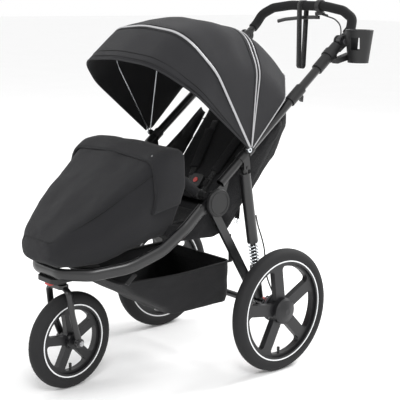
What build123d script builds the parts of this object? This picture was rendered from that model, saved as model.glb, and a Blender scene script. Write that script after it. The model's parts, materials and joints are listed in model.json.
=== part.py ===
"""Three-wheel jogging stroller with a fold-out sun canopy, footmuff, basket and cup holder.

Millimetres, +Z up, -Y is the direction of travel and +X is the stroller's left side.
The model is laid out from the ground point under the rear axle. Each piece is moved by
CENTRE_SHIFT as it is written, so that the origin is on the ground under the middle.
"""
from build123d import *
import math
import os

# ---- driving dimensions -------------------------------------------------------------
WHEEL_BASE = 606.0
TRACK = 590.0
REAR_RADIUS = 200.0
FRONT_RADIUS = 150.0
TUBE_ANGLE = 38.3
TUBE_X = 222.0
HINGE_Y = -233.0
HINGE_Z = 570.0
TUBE_RISE = 24.0
HANDLE_HUB_Y = 325.0
STEER = 4.1
TRAIL = 42.0

# ---- tubes and fits -----------------------------------------------------------------
TUBE_R = 14.0
TUBE_WALL = 1.6
TUBE_START = 36.0
RUN_FIT = 0.05
SIDE_GAP = 0.6
CLOTH_GAP = 1.0
CLOTH = 3.0
PIN_R = 5.0

# ---- wheels -------------------------------------------------------------------------
REAR_TYRE_HALF = 23.0
FRONT_TYRE_HALF = 22.0
REAR_TYRE_H = 40.0
FRONT_TYRE_H = 40.0
RING_H = 4.5
RIM_HALF = 19.0
RIM_BAND = 6.0
SPOKES = 5
SPOKE_PHASE = 99.0
REAR_SPOKE_W = 38.0
FRONT_SPOKE_W = 27.0
SPOKE_T = 20.0
REAR_HUB_R = 42.0
FRONT_HUB_R = 25.0
HUB_HALF = 24.0
DOME_REACH = 37.5
REAR_AXLE_R = 6.0
FRONT_AXLE_R = 5.0
AXLE_TUBE_R = 11.0

# ---- rear suspension ----------------------------------------------------------------
LEG_TOP_Y = -106.0
LEG_TOP_Z = 664.0
LEG_FOOT_Y = -18.0
LEG_FOOT_Z = 215.0
LEG_R = 18.0
LEG_WALL = 3.0
LEG_LEN = 250.0
ROD_R = 9.0
SPRING_R = 16.5
SPRING_WIRE = 2.3
SPRING_TURNS = 7
ARM_X = 200.0
ARM_HALF = 6.0

# ---- handle -------------------------------------------------------------------------
FOAM_R = 16.5
SLEEVE_R = 19.0
SLEEVE_LEN = 120.0
HUB_R = 20.0
KNUCKLE_HALF = 8.0
EAR_T = 6.0
BUTTON_R = 9.0
BUTTON_T = 4.0
BUTTON_TRAVEL = 2.0
HANDLE_REACH = 78.0
HANDLE_TOP = 110.0
BRAKE_X = 56.0
BRAKE_RING_T = 5.0

# ---- cup holder ---------------------------------------------------------------------
CUP_X = 286.0
CUP_Y = 341.0
CUP_TOP_R = 46.0
CUP_BASE_R = 34.0
CUP_H = 105.0
CUP_BASE_Z = 975.0
CUP_WALL = 2.5
SEAT_BORE_R = 30.0
SEAT_BORE_H = 20.0

# ---- canopy -------------------------------------------------------------------------
CANOPY_Y = -105.0
CANOPY_Z = 720.0
RIB_X = 241.4
RIB_WIRE = 2.0
HOOP_STEP = 4.5
CANOPY_PIN_R = 3.0
CANOPY_RIBS = [(140.0, 434.0), (121.0, 428.0), (101.0, 400.0), (83.6, 368.0), (45.0, 318.0)]

# ---- seat ---------------------------------------------------------------------------
SEAT_HALF = 188.0
PAD_HALF = 165.0
BIGHT_Y = -118.0
BIGHT_Z = 505.0
BACK_ANGLE = 52.0
BACK_LEN = 400.0
BACK_T = 26.0
LEG_REST_Y = -398.0
LEG_REST_Z = 500.0
LEG_REST_TILT = 12.0

# ---- front --------------------------------------------------------------------------
BOW_HALF_H = 19.0
BOW_HALF_W = 13.0
FORK_HALF = 41.0
HEAD_R = 24.0
STEM_R = 8.0

# ---- worked out ---------------------------------------------------------------------
WHEEL_X = TRACK / 2
HEAD_Y = -WHEEL_BASE - TRAIL
STEER_COS = math.cos(math.radians(STEER))
FRONT_REACH = -HEAD_Y - TRAIL * STEER_COS + FRONT_RADIUS * STEER_COS + 0.07
REAR_REACH = HANDLE_HUB_Y + HANDLE_REACH + FOAM_R + BRAKE_RING_T
CENTRE_SHIFT = (FRONT_REACH - REAR_REACH) / 2
SLOPE = math.tan(math.radians(TUBE_ANGLE))
HANDLE_HUB_Z = HINGE_Z + TUBE_RISE / math.cos(math.radians(TUBE_ANGLE)) + SLOPE * (HANDLE_HUB_Y - HINGE_Y)
LEG_DIR = Vector(0, LEG_FOOT_Y - LEG_TOP_Y, LEG_FOOT_Z - LEG_TOP_Z).normalized()


# ---- helpers ------------------------------------------------------------------------
def tube_z(y):
    """Height of the side tube's centre line at a given y."""
    return HINGE_Z + TUBE_RISE / math.cos(math.radians(TUBE_ANGLE)) + SLOPE * (y - HINGE_Y)


def rod(start, end, radius, inner=0.0):
    """Round bar or tube between two points."""
    a, b = Vector(*start), Vector(*end)
    plane = Plane(origin=a, z_dir=b - a)
    body = extrude(plane * Circle(radius), (b - a).length)
    if inner:
        body -= extrude(plane * Circle(inner), (b - a).length)
    return body


def bent(points, radii, section):
    """Sweep of a section along straight runs joined by tangent arcs."""
    path = FilletPolyline(*points, radius=radii)
    plane = Plane(origin=path @ 0, z_dir=path % 0)
    return sweep(plane * section, path=path)


def disc(centre_x, half, radius, y, z, inner=0.0):
    """Short round plate across X."""
    return rod((centre_x - half, y, z), (centre_x + half, y, z), radius, inner)


def spun(points):
    """Solid of revolution about X from (axial, radial) corners."""
    return revolve(make_face(Polyline(*points, close=True)), Axis.X)


def both(shape):
    """The shape and its mirror image on the other side."""
    return Compound(children=[shape, mirror(shape, Plane.YZ)])


def plate(points, x_low, x_high):
    """Flat side profile in (y, z), given thickness along X."""
    face = make_face(Polyline(*[(0, y, z) for y, z in points], close=True))
    return Pos(x_low, 0, 0) * extrude(face, x_high - x_low, dir=(1, 0, 0))


def soft(shape, radius, edges=None):
    """Rounded edges on a cushion."""
    return fillet(shape.edges() if edges is None else edges, radius)


# ---- wheels, made about X at the origin ---------------------------------------------
def tyre(radius, height, half):
    seat = radius - height
    crown = Spline((-half * 0.52, radius - 2.4), (0, radius), (half * 0.52, radius - 2.4))
    right = ThreePointArc((half * 0.52, radius - 2.4), (half, radius - height * 0.5), (RIM_HALF, seat + RING_H))
    left = ThreePointArc((-half * 0.52, radius - 2.4), (-half, radius - height * 0.5), (-RIM_HALF, seat + RING_H))
    bead = Polyline(
        (RIM_HALF, seat + RING_H), (14, seat + RING_H), (14, seat), (11, seat), (11, seat + 5),
        (13, seat + 14), (9, radius - 8), (-9, radius - 8), (-13, seat + 14), (-11, seat + 5),
        (-11, seat), (-14, seat), (-14, seat + RING_H), (-RIM_HALF, seat + RING_H),
    )
    return revolve(make_face(crown + right + bead + left), Axis.X)


def inner_tube(radius, height):
    seat = radius - height
    ring = spun([(-9, seat + 1), (9, seat + 1), (12, seat + 13), (8, radius - 9), (-8, radius - 9), (-12, seat + 13)])
    stem = rod((0, 0, -seat - 4), (0, 0, -seat + 30), 3.6)
    cap = rod((0, 0, -seat + 22), (0, 0, -seat + 34), 4.6)
    return ring + stem + cap


def rim(radius, height, spoke_w, hub_r, bore, dome):
    seat = radius - height
    inner = seat - RIM_BAND
    web = Circle(inner + 1) - Circle(inner - 9) + Circle(spoke_w * 0.55)
    for k in range(SPOKES):
        turn = SPOKE_PHASE + 360 / SPOKES * k
        web += Rot(0, 0, turn) * Pos((inner - 4) / 2, 0) * Rectangle(inner - 4, spoke_w)
    corners = [v for v in web.vertices() if Vector(*v).length < inner - 7]
    web = fillet(corners, spoke_w * 0.3)
    spokes = extrude(Plane.YZ * web, SPOKE_T / 2, both=True)
    band = spun([
        (-RIM_HALF, inner), (RIM_HALF, inner), (RIM_HALF, seat + RING_H - 5), (14.5, seat + RING_H - 5),
        (14.5, seat - 0.6), (-14.5, seat - 0.6), (-14.5, seat + RING_H - 5), (-RIM_HALF, seat + RING_H - 5),
    ])
    hub = rod((-HUB_HALF, 0, 0), (HUB_HALF, 0, 0), hub_r)
    wheel = spokes + band + hub
    if dome:
        wheel += spun([(HUB_HALF, 0), (HUB_HALF, hub_r), (HUB_HALF + 5, hub_r * 0.86),
                       (DOME_REACH - 3, hub_r * 0.5), (DOME_REACH, hub_r * 0.25), (DOME_REACH, 0)])
        wheel -= rod((-HUB_HALF - 1, 0, 0), (HUB_HALF + 4, 0, 0), bore + RUN_FIT)
    else:
        wheel -= rod((-HUB_HALF - 1, 0, 0), (HUB_HALF + 1, 0, 0), bore + RUN_FIT)
    return wheel - rod((0, 0, -seat - 8), (0, 0, -inner + 12), 4.2)


def rings(radius, height):
    """Reflective beads seated between tyre and rim, one on each side."""
    seat = radius - height
    bead = spun([(14.4, seat + 0.3), (RIM_HALF, seat + 0.3), (RIM_HALF, seat + RING_H - 0.3), (14.4, seat + RING_H - 0.3)])
    return both(bead)


# ---- frame --------------------------------------------------------------------------
def tube_point(along, x=TUBE_X):
    """Point on the side tube's centre line, along mm up from beside the hinge."""
    a = math.radians(TUBE_ANGLE)
    return (x, HINGE_Y + along * math.cos(a), tube_z(HINGE_Y) + along * math.sin(a))


HUB_ALONG = (HANDLE_HUB_Y - HINGE_Y) / math.cos(math.radians(TUBE_ANGLE))


def side_tube():
    tube = rod(tube_point(TUBE_START), tube_point(HUB_ALONG - 40), TUBE_R, TUBE_R - TUBE_WALL)
    lug = plate([(HINGE_Y - 12, tube_z(HINGE_Y) - 4), (HINGE_Y + 44, HINGE_Z - 4), (HINGE_Y + 70, tube_z(HINGE_Y + 70) - 6),
                 (HINGE_Y + 12, tube_z(HINGE_Y + 12) - 2)], TUBE_X - 5, TUBE_X + 2)
    lug += disc(TUBE_X - 1.5, 3.5, 33, HINGE_Y, HINGE_Z)
    return tube + lug - disc(TUBE_X, 30, PIN_R, HINGE_Y, HINGE_Z)


def sleeve():
    low, high = tube_point(HUB_ALONG - 22 - SLEEVE_LEN), tube_point(HUB_ALONG - 26)
    shell = rod(low, high, SLEEVE_R, TUBE_R)
    ears = Part()
    for side in (-1, 1):
        centre = TUBE_X + side * (KNUCKLE_HALF + SIDE_GAP + EAR_T / 2)
        ear = disc(centre, EAR_T / 2, HUB_R, HANDLE_HUB_Y, HANDLE_HUB_Z)
        ear += plate([tube_point(HUB_ALONG - 34)[1:], tube_point(HUB_ALONG)[1:],
                      (HANDLE_HUB_Y + 12, HANDLE_HUB_Z - 15), (tube_point(HUB_ALONG - 34)[1] + 10,
                                                              tube_point(HUB_ALONG - 34)[2] - 13)],
                     centre - EAR_T / 2, centre + EAR_T / 2)
        ears += ear
    ears -= disc(TUBE_X, 30, PIN_R + RUN_FIT, HANDLE_HUB_Y, HANDLE_HUB_Z)
    return shell + ears


def tube_bracket():
    """Clip on the side tube that holds the canopy's rear corner."""
    low, high = tube_point(HUB_ALONG - 300), tube_point(HUB_ALONG - 235)
    clip = rod(low, high, TUBE_R + 4.5, TUBE_R)
    tab = plate([(high[1] - 4, high[2] - 12), (high[1] + 8, high[2] - 26), (high[1] + 6, high[2] - 44),
                 (high[1] - 16, high[2] - 30)], TUBE_X - 6, TUBE_X + 6)
    return clip + (tab - rod(low, high, TUBE_R))


def hinge_pin():
    return rod((ARM_X - 9, HINGE_Y, HINGE_Z), (TUBE_X + 27, HINGE_Y, HINGE_Z), PIN_R)


def hinge_cover():
    x = TUBE_X + 17
    cover = disc(x + 8, 6, 43, HINGE_Y, HINGE_Z)
    cover = fillet(cover.edges().group_by(Axis.X)[-1], 5)
    return cover - rod((ARM_X, HINGE_Y, HINGE_Z), (TUBE_X + 27, HINGE_Y, HINGE_Z), PIN_R)


def leg_bracket():
    """Yoke clamped round the side tube that the rear leg swings in."""
    along = (LEG_TOP_Y - HINGE_Y) / math.cos(math.radians(TUBE_ANGLE))
    clamp = rod(tube_point(along - 26), tube_point(along + 2), TUBE_R + 3, TUBE_R)
    cheeks = Part()
    for side in (-1, 1):
        inner = TUBE_X + side * 11
        outer = TUBE_X + side * 17
        cheeks += plate([(LEG_TOP_Y - 14, LEG_TOP_Z - 6), (LEG_TOP_Y + 13, LEG_TOP_Z - 6),
                         (LEG_TOP_Y + 6, tube_z(LEG_TOP_Y + 6) - 4), (LEG_TOP_Y - 16, tube_z(LEG_TOP_Y - 16) - 4)],
                        min(inner, outer), max(inner, outer))
    cheeks -= rod(tube_point(along - 60), tube_point(along + 60), TUBE_R)
    pin = disc(TUBE_X, 19, PIN_R, LEG_TOP_Y, LEG_TOP_Z)
    return clamp + cheeks + pin


# ---- rear legs, springs and swing arm -----------------------------------------------
def leg_at(along):
    p = Vector(TUBE_X, LEG_TOP_Y, LEG_TOP_Z) + LEG_DIR * along
    return (p.X, p.Y, p.Z)


def leg_sleeve():
    outer = rod(leg_at(20), leg_at(LEG_LEN), LEG_R)
    bore = rod(leg_at(60), leg_at(LEG_LEN + 1), LEG_R - LEG_WALL)
    eye = disc(TUBE_X, 10.4, 11, LEG_TOP_Y, LEG_TOP_Z) + rod(leg_at(4), leg_at(30), 10)
    bush = rod(leg_at(LEG_LEN - 24), leg_at(LEG_LEN), LEG_R - LEG_WALL, ROD_R + RUN_FIT)
    return outer - bore + bush + eye - disc(TUBE_X, 30, PIN_R + RUN_FIT, LEG_TOP_Y, LEG_TOP_Z)


def leg_rod():
    length = (Vector(*leg_at(0)) - Vector(TUBE_X, LEG_FOOT_Y, LEG_FOOT_Z)).length
    shaft = rod(leg_at(LEG_LEN - 60), leg_at(length - 14), ROD_R)
    seat = rod(leg_at(length - 124), leg_at(length - 116), SPRING_R + 3)
    foot = rod(leg_at(length - 118), leg_at(length - 15), 13)
    return shaft + seat + foot


def spring():
    length = (Vector(*leg_at(0)) - Vector(TUBE_X, LEG_FOOT_Y, LEG_FOOT_Z)).length
    start, stop = LEG_LEN + SPRING_WIRE + 0.5, length - 124 - SPRING_WIRE - 0.5
    coil = Helix(pitch=(stop - start) / SPRING_TURNS, height=stop - start, radius=SPRING_R - SPRING_WIRE)
    wire = sweep(Plane(origin=coil @ 0, z_dir=coil % 0) * Circle(SPRING_WIRE), path=coil, is_frenet=True)
    return Plane(origin=leg_at(start), z_dir=LEG_DIR).location * wire


def swing_arm():
    """Arm from the fold hinge down to the rear axle, with its eye at the top."""
    bar = plate([(HINGE_Y - 9, HINGE_Z - 14), (HINGE_Y + 14, HINGE_Z + 2), (12, REAR_RADIUS + 8), (-12, REAR_RADIUS - 8)],
                ARM_X - ARM_HALF, ARM_X + ARM_HALF)
    eye = disc(ARM_X, ARM_HALF, 17, HINGE_Y, HINGE_Z)
    foot = disc(ARM_X, ARM_HALF, 20, 0, REAR_RADIUS)
    return bar + eye + foot - disc(ARM_X, 20, PIN_R + RUN_FIT, HINGE_Y, HINGE_Z) - disc(ARM_X, 20, AXLE_TUBE_R, 0, REAR_RADIUS)


def pedal_bracket():
    """Two cheeks and the pin that the parking brake pedal turns on."""
    cheeks = Part()
    for x in (104, 184):
        cheeks += plate([(-8, REAR_RADIUS - 4), (-6, REAR_RADIUS - 14), (14, REAR_RADIUS - 26), (28, REAR_RADIUS - 18),
                         (24, REAR_RADIUS - 8), (8, REAR_RADIUS + 2)], x - 3, x + 3)
    return cheeks + rod((101, 20, REAR_RADIUS - 16), (187, 20, REAR_RADIUS - 16), 4)


def rear_axle():
    inner = WHEEL_X - HUB_HALF - 10
    bar = rod((-inner, 0, REAR_RADIUS), (inner, 0, REAR_RADIUS), AXLE_TUBE_R)
    stub = rod((-WHEEL_X - HUB_HALF - 3, 0, REAR_RADIUS), (WHEEL_X + HUB_HALF + 3, 0, REAR_RADIUS), REAR_AXLE_R)
    lugs = both(rod((TUBE_X - 14, LEG_FOOT_Y, LEG_FOOT_Z), (TUBE_X + 14, LEG_FOOT_Y, LEG_FOOT_Z), 7)
                + plate([(LEG_FOOT_Y - 8, LEG_FOOT_Z), (LEG_FOOT_Y + 2, LEG_FOOT_Z + 8), (8, REAR_RADIUS + 6), (-4, REAR_RADIUS - 8)],
                        TUBE_X - 14, TUBE_X + 14))
    return bar + stub + lugs + pedal_bracket()


def brake_drum():
    """Drum plate inside the wheel, with the plated rod that stops it turning."""
    x = WHEEL_X - HUB_HALF - 5
    drum = rod((x - 4, 0, REAR_RADIUS), (x + 4, 0, REAR_RADIUS), 44, REAR_AXLE_R)
    drum -= rod((x - 5, 0, REAR_RADIUS), (x - 0.5, 0, REAR_RADIUS), AXLE_TUBE_R)
    end = REAR_RADIUS + 36
    stay = rod((x - 16, -14, end), (x - 16, -62, REAR_RADIUS - 6), 2.4)
    return drum + stay + rod((x - 16, -14, end), (x - 2, -14, end), 3)


# ---- handle -------------------------------------------------------------------------
def handle_points(x=TUBE_X):
    y, z = HANDLE_HUB_Y, HANDLE_HUB_Z
    half = [(x, y + 17, z + 14), (x, y + 48, z + 40), (x - 10, y + HANDLE_REACH - 12, z + 74),
            (x - 58, y + HANDLE_REACH - 5, z + 98), (x - 142, y + HANDLE_REACH, z + HANDLE_TOP)]
    return half + [(-px, py, pz) for px, py, pz in reversed(half)]


HANDLE_RADII = [40, 34, 60, 200, 200, 60, 34, 40]


def handle_bar():
    bar = bent(handle_points(), HANDLE_RADII, Circle(TUBE_R - 2) - Circle(TUBE_R - 2 - TUBE_WALL))
    hub = disc(TUBE_X, KNUCKLE_HALF, HUB_R - 2, HANDLE_HUB_Y, HANDLE_HUB_Z)
    hub += Pos(TUBE_X, HANDLE_HUB_Y + 12, HANDLE_HUB_Z + 10) * Rot(40, 0, 0) * Box(2 * KNUCKLE_HALF, 28, 20)
    hub += mirror(hub, Plane.YZ)
    bore = both(disc(TUBE_X, 40, PIN_R + RUN_FIT, HANDLE_HUB_Y, HANDLE_HUB_Z))
    return bar + hub - bore


def foam_grip():
    pts = handle_points()
    start = Vector(*pts[0]) + (Vector(*pts[1]) - Vector(*pts[0])) * 0.42
    trimmed = [tuple(start)] + pts[1:-1] + [(-start.X, start.Y, start.Z)]
    radii = HANDLE_RADII
    return bent(trimmed, radii, Circle(FOAM_R) - Circle(TUBE_R - 2 + 0.02))


def handle_button():
    x = TUBE_X + KNUCKLE_HALF + SIDE_GAP + EAR_T + BUTTON_TRAVEL + 0.4
    cap = rod((x, HANDLE_HUB_Y, HANDLE_HUB_Z), (x + BUTTON_T, HANDLE_HUB_Y, HANDLE_HUB_Z), BUTTON_R)
    stem = rod((TUBE_X - 12, HANDLE_HUB_Y, HANDLE_HUB_Z), (x + 1, HANDLE_HUB_Y, HANDLE_HUB_Z), PIN_R)
    return cap + stem


BAR_TOP = (0, HANDLE_HUB_Y + HANDLE_REACH, HANDLE_HUB_Z + HANDLE_TOP)

LEVER_PIVOT = (BRAKE_X - 14, BAR_TOP[1], BAR_TOP[2] - FOAM_R - 22)
LEVER_PIN_R = 2.2


def brake_mount():
    x, y, z = BRAKE_X, BAR_TOP[1], BAR_TOP[2]
    ring = rod((x - 9, y, z), (x + 9, y, z), FOAM_R + BRAKE_RING_T, FOAM_R + 0.4)
    arm = Pos(x, y, z - FOAM_R - 9) * Box(34, 14, 10)
    cheeks = Pos(x - 14, y, z - FOAM_R - 19) * Box(10, 5, 14)
    barrel = rod((x + 14, y, z - FOAM_R - 11), (x + 34, y, z - FOAM_R - 15), 4.5)
    hole = rod((LEVER_PIVOT[0], y - 9, LEVER_PIVOT[2]), (LEVER_PIVOT[0], y + 9, LEVER_PIVOT[2]), LEVER_PIN_R + RUN_FIT)
    return ring + arm + cheeks + barrel - disc(x, 12, FOAM_R + 0.4, y, z) - hole




def brake_lever():
    x, y, z = LEVER_PIVOT
    arms = Part()
    for side in (-1, 1):
        arms += Pos(x - 4, y + side * 4.6, z) * Box(26, 3, 12)
    blade = bent([(x - 14, y, z), (x - 70, y, z - 3), (x - 150, y, z - 12), (x - 186, y, z - 20)], [60, 90],
                 Ellipse(6.4, 3.4))
    pin = rod((x, y - 8, z), (x, y + 8, z), LEVER_PIN_R)
    return arms + blade + pin + Pos(x - 15, y, z) * Box(6, 12.4, 10)


CABLE_TOP = [
    (91, BAR_TOP[1], BAR_TOP[2] - 34), (124, BAR_TOP[1] - 2, BAR_TOP[2] - 40), (160, BAR_TOP[1] - 12, BAR_TOP[2] - 58),
    (186, BAR_TOP[1] - 34, BAR_TOP[2] - 88), (198, BAR_TOP[1] - 66, BAR_TOP[2] - 118),
    (199, BAR_TOP[1] - 96, BAR_TOP[2] - 142), (199, BAR_TOP[1] - 122, BAR_TOP[2] - 166),
]


def cable(points, radius):
    vs = [Vector(*p) for p in points]
    radii = []
    for a, b, c in zip(vs, vs[1:], vs[2:]):
        turn = math.radians((b - a).get_angle(c - b))
        radii.append(0.45 * min((b - a).length, (c - b).length) / math.tan(turn / 2))
    print("cable radii", [round(r, 1) for r in radii])
    return bent(points, radii, Circle(radius))


CABLE_LOW = [
    (TUBE_X + 4, -51, 505), (TUBE_X + 6, -42, 468), (TUBE_X + 8, -26, 430), (TUBE_X + 9, -12, 388),
    (TUBE_X + 9, -8, 344), (TUBE_X + 12, -4, 304), (TUBE_X + 20, 4, 270), (TUBE_X + 34, 12, 238),
]


def wrist_strap():
    """Webbing loop that hangs from the bar."""
    x, y, z = -24, BAR_TOP[1], BAR_TOP[2]
    outer = SlotOverall(2 * FOAM_R + 212, 2 * FOAM_R + 5, rotation=90)
    hole = SlotOverall(2 * FOAM_R + 209, 2 * FOAM_R + 2, rotation=90)
    band = extrude(Plane.YZ * (outer - hole), 24)
    return Pos(x - 12, y, z - 103.5) * band


def cup_clamp():
    at = tube_point(HUB_ALONG - 70)
    low, high = tube_point(HUB_ALONG - 82), tube_point(HUB_ALONG - 58)
    ring = rod(low, high, SLEEVE_R + 4, SLEEVE_R)
    arm = plate([(at[1] - 8, at[2] - 10), (at[1] + 12, at[2] - 8), (CUP_Y - 2, CUP_BASE_Z + 30), (CUP_Y - 2, CUP_BASE_Z + 10),
                 (at[1] + 4, at[2] - 26)], TUBE_X + 12, CUP_X - CUP_BASE_R + 6)
    return ring + (arm - rod(tube_point(HUB_ALONG - 130), tube_point(HUB_ALONG - 20), SLEEVE_R) - cup_outside())


def cup_outside():
    return Pos(CUP_X, CUP_Y, CUP_BASE_Z + CUP_H / 2) * Cone(CUP_BASE_R, CUP_TOP_R, CUP_H)


def cup_holder():
    outer = cup_outside()
    hollow = Pos(CUP_X, CUP_Y, CUP_BASE_Z + SEAT_BORE_H + 3 + (CUP_H - SEAT_BORE_H) / 2) * Cone(
        CUP_BASE_R + 0.5, CUP_TOP_R - CUP_WALL, CUP_H - SEAT_BORE_H + 0.01)
    seat = rod((CUP_X, CUP_Y, CUP_BASE_Z + 3), (CUP_X, CUP_Y, CUP_BASE_Z + SEAT_BORE_H + 4), SEAT_BORE_R)
    window = Pos(CUP_X, CUP_Y, CUP_BASE_Z + 62) * Rot(0, 0, 20) * Box(32, 140, 40)
    return outer - hollow - seat - window


# ---- front frame --------------------------------------------------------------------
def bow():
    z = HINGE_Z
    half = [(TUBE_X, HINGE_Y - 42, z - 14), (TUBE_X, -343, 500), (TUBE_X - 2, -430, 446), (196, -530, 406),
            (138, -628, 386), (62, -684, 382)]
    pts = half + [(-x, y, zz) for x, y, zz in reversed(half)]
    radii = [150, 160, 160, 90, 60, 60, 90, 160, 160, 150]
    tube = bent(pts, radii, Ellipse(BOW_HALF_H, BOW_HALF_W))
    ends = both(disc(TUBE_X + 7, 4, 31, HINGE_Y, HINGE_Z)
                + plate([(HINGE_Y - 20, HINGE_Z + 20), (HINGE_Y - 60, HINGE_Z - 8), (HINGE_Y - 48, HINGE_Z - 34),
                         (HINGE_Y - 8, HINGE_Z - 26)], TUBE_X + 3, TUBE_X + 11))
    bores = both(disc(TUBE_X + 7, 30, PIN_R + RUN_FIT, HINGE_Y, HINGE_Z))
    return tube + ends - bores


HEAD_TOP = 363.0
HEAD_LOW = 336.0
LOCK_Z = HEAD_LOW + 6.0    # middle of the swivel lock's slider, above the turning crown
FOOTREST_Z = 382.0 + BOW_HALF_H + 0.3


def head_block():
    block = Pos(0, HEAD_Y - 8, HEAD_TOP - 7) * Box(92, 84, 14)
    block = fillet(block.edges().filter_by(Axis.Z), 18)
    block += rod((0, HEAD_Y, HEAD_LOW), (0, HEAD_Y, HEAD_TOP - 7), HEAD_R)
    return block - rod((0, HEAD_Y, HEAD_LOW - 1), (0, HEAD_Y, HEAD_TOP - 4), STEM_R + RUN_FIT)


def swivel_lock():
    slider = Pos(0, HEAD_Y - HEAD_R - 9, LOCK_Z) * Box(24, 14, 9)
    return slider + Pos(0, HEAD_Y - HEAD_R - 6, LOCK_Z + 3) * Box(10, 6, 6)


def footrest():
    """Ribbed plate across the front of the bow, where the child's feet rest."""
    half = [(60, -690), (60, -668), (108, -620), (119, -580)]
    outline = make_face(Polyline(*half, *[(-x, y) for x, y in reversed(half)], close=True))
    return Pos(0, 0, FOOTREST_Z) * extrude(fillet(outline.vertices(), 6), 4)


def fork_turn(shape):
    """Turns a piece of the caster about the steering axis."""
    return Pos(0, HEAD_Y, 0) * Rot(0, 0, STEER) * Pos(0, -HEAD_Y, 0) * shape


def fork():
    crown_z = HEAD_LOW - SIDE_GAP
    crown = Pos(0, HEAD_Y, crown_z - 6) * Box(64, 34, 12)
    crown = fillet(crown.edges().filter_by(Axis.Z), 9)
    stem = rod((0, HEAD_Y, crown_z - 10), (0, HEAD_Y, HEAD_TOP - 6), STEM_R)
    axle_y = -WHEEL_BASE
    leg = bent([(24, HEAD_Y, crown_z - 7), (47, HEAD_Y + 1, crown_z - 20), (50, HEAD_Y + 12, 240), (FORK_HALF, axle_y, 158)],
               [14, 90], Ellipse(7, 11))
    lug = disc(FORK_HALF + 2.5, 6.5, 14, axle_y, FRONT_RADIUS)
    lug += rod((HUB_HALF + SIDE_GAP, axle_y, FRONT_RADIUS), (FORK_HALF, axle_y, FRONT_RADIUS), 9)
    leg += lug
    leg -= disc(FORK_HALF, 20, FRONT_AXLE_R, axle_y, FRONT_RADIUS)
    return fork_turn(crown + stem + leg + mirror(leg, Plane.YZ))


def front_axle():
    """Axle bolt with a nut on each end."""
    pin = disc(0, FORK_HALF + 18, FRONT_AXLE_R, -WHEEL_BASE, FRONT_RADIUS)
    face = Plane(origin=(FORK_HALF + 9, -WHEEL_BASE, FRONT_RADIUS), z_dir=(1, 0, 0))
    nut = extrude(face * RegularPolygon(9, 6), 7)
    return fork_turn(pin + nut + mirror(nut, Plane.YZ))


def at_rear(sign, shape):
    """A rear wheel's piece, mirrored on the right so that its dome faces out."""
    placed = Pos(WHEEL_X, 0, REAR_RADIUS) * shape
    return placed if sign > 0 else mirror(placed, Plane.YZ)


def at_front(shape):
    return fork_turn(Pos(0, -WHEEL_BASE, FRONT_RADIUS) * shape)


# ---- seat ---------------------------------------------------------------------------
def seat_shell():
    outer = [(-392, 512), (-386, 478), (-350, 454), (-196, 448), (-142, 462), (-86, 520), (-30, 600), (36, 690),
             (100, 782), (78, 800), (-190, 590), (-300, 520)]
    inner = [(-400, 560), (-384, 484), (-347, 458), (-197, 452), (-145, 466), (-104, 508), (160, 508), (160, 860),
             (-190, 720), (-300, 560)]
    return plate(outer, -SEAT_HALF, SEAT_HALF) - plate(inner, -SEAT_HALF + CLOTH, SEAT_HALF - CLOTH)


def seat_base():
    pad = Pos(0, -242, 489) * Rot(4, 0, 0) * Box(2 * PAD_HALF, 204, 30)
    return soft(pad, 10)


def seat_back():
    pad = Pos(0, 0, BACK_T / 2) * Box(2 * PAD_HALF, BACK_LEN, BACK_T)
    pad = soft(pad, 9)
    return Pos(0, BIGHT_Y, BIGHT_Z) * Rot(BACK_ANGLE, 0, 0) * Pos(0, BACK_LEN / 2 + 8, 0) * pad


def seat_bag():
    """Fabric pocket that hangs behind the backrest."""
    side = [(30, -1), (BACK_LEN, -1), (BACK_LEN + 6, -16), (BACK_LEN - 40, -52), (230, -62), (110, -48), (50, -26)]
    face = make_face(Polyline(*[(0, y, z) for y, z in side], close=True))
    body = Pos(-SEAT_HALF + 24, 0, 0) * extrude(face, 2 * SEAT_HALF - 48, dir=(1, 0, 0))
    return Pos(0, BIGHT_Y, BIGHT_Z) * Rot(BACK_ANGLE, 0, 0) * fillet(body.edges(), 8)


def harness():
    """Shoulder and crotch webbing with pads, lying on the cushions."""
    straps = Part()
    for side in (-1, 1):
        straps += Pos(side * 62, 190, BACK_T + 4) * Rot(0, 0, side * -9) * Box(44, 210, 6)
        straps += Pos(side * 46, 62, BACK_T + 4) * Box(24, 60, 5)
    straps += Pos(0, 78, BACK_T + 6) * Box(100, 30, 6)
    return Pos(0, BIGHT_Y, BIGHT_Z) * Rot(BACK_ANGLE, 0, 0) * straps


def buckle():
    body = Pos(0, 74, BACK_T + 14.2) * Box(56, 46, 10)
    body = fillet(body.edges().filter_by(Axis.Z), 12)
    body -= Pos(0, 74, BACK_T + 17) * Cylinder(9.3, 8)
    return Pos(0, BIGHT_Y, BIGHT_Z) * Rot(BACK_ANGLE, 0, 0) * body


def buckle_button():
    return Pos(0, BIGHT_Y, BIGHT_Z) * Rot(BACK_ANGLE, 0, 0) * Pos(0, 74, BACK_T + 18.6) * Cylinder(9, 5)


def leg_rest():
    """Padded calf support that hangs from the front edge of the seat, inside the footmuff."""
    panel = Pos(0, -80, -8) * Box(290, 152, 12)
    return Pos(0, LEG_REST_Y, LEG_REST_Z) * Rot(LEG_REST_TILT, 0, 0) * soft(panel, 5)


BUMPER_X = 176.0
BUMPER_Y = -256.0
BUMPER_Z = 590.0
BUMPER_R = 15.0
BUMPER_PIN_R = 6.0


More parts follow.
